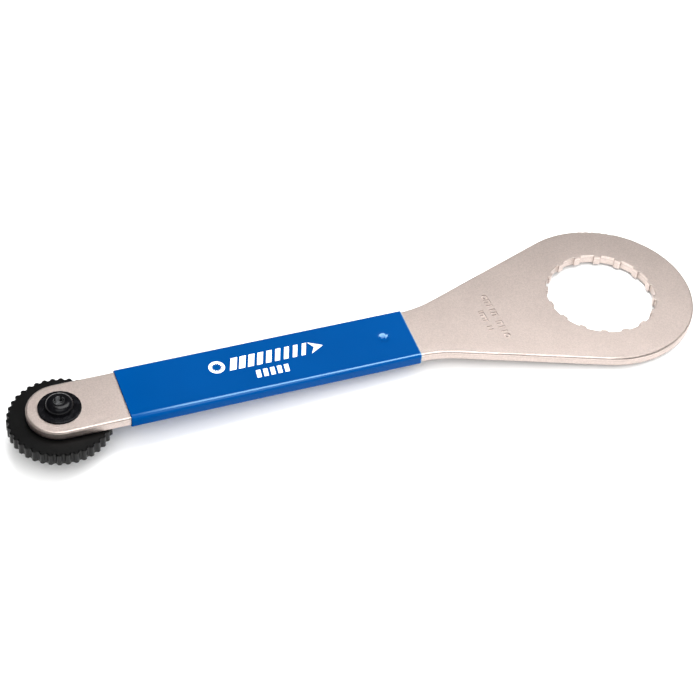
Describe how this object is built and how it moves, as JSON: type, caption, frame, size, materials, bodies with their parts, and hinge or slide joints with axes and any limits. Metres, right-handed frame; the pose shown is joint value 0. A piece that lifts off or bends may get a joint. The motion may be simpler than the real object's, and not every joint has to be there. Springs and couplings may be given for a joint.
{
  "type": "bottom bracket cup wrench",
  "caption": "Flat steel wrench with a notched ring for external bearing cups, a grip sleeve, and a free-turning knurled wheel with a splined driver for crank preload caps.",
  "frame": {"origin": "centre of the notched ring, half way through the plate's thickness", "axes": "+Z along the ring's axis, out of the marked side of the plate; -X along the handle towards the knurled wheel; +Y completes the right-handed frame"},
  "size_m": [0.2765, 0.0742, 0.0236],
  "materials": {
    "plated_steel": "satin nickel plate over fine grain",
    "blue_vinyl": "glossy dipped vinyl",
    "black_oxide_screw": "oiled black oxide",
    "black_oxide_washer": "oiled black oxide",
    "bushing_steel": "turned",
    "thrust_nylon": "plain",
    "black_nylon": "fine moulded texture",
    "driver_steel": "black oxide"
  },
  "bodies": {
    "wrench": {"wrench_plate": "plated_steel", "grip_sleeve": "blue_vinyl"},
    "cap_driver": {"button_head_screw": "black_oxide_screw", "screw_washer": "black_oxide_washer", "pivot_bushing": "bushing_steel", "thrust_washer": "thrust_nylon", "thumb_wheel": "black_nylon", "spline_driver": "driver_steel"}
  },
  "joints": [
    {"name": "wheel_spin", "type": "hinge", "parent": "wrench", "child": "cap_driver", "pos_m": [-0.22, 0, -0.001], "axis": [0, 0, 1], "continuous": true}
  ]
}
